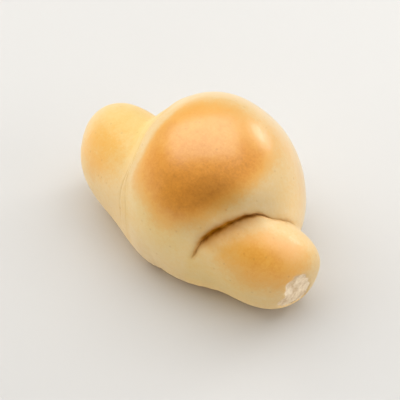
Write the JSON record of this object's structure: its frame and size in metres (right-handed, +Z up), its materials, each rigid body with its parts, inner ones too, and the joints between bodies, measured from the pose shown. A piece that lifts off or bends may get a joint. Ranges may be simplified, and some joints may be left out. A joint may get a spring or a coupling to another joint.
{
  "type": "cheese bread roll",
  "caption": "Soft rolled bread bun: a round browned outer turn over the middle, a blunt paler end on each side, a deep fold over one end and a small torn face at its tip.",
  "frame": {"origin": "on the table, below the middle of the bun's length and width", "axes": "+X along the roll towards the torn tip, -Y the front that the picture shows, +Z up"},
  "size_m": [0.121, 0.0759, 0.068],
  "materials": {
    "crust": "soft baked crust, golden brown on top and pale at the sides"
  },
  "bodies": {
    "root": {"bread": "crust"}
  },
  "joints": []
}
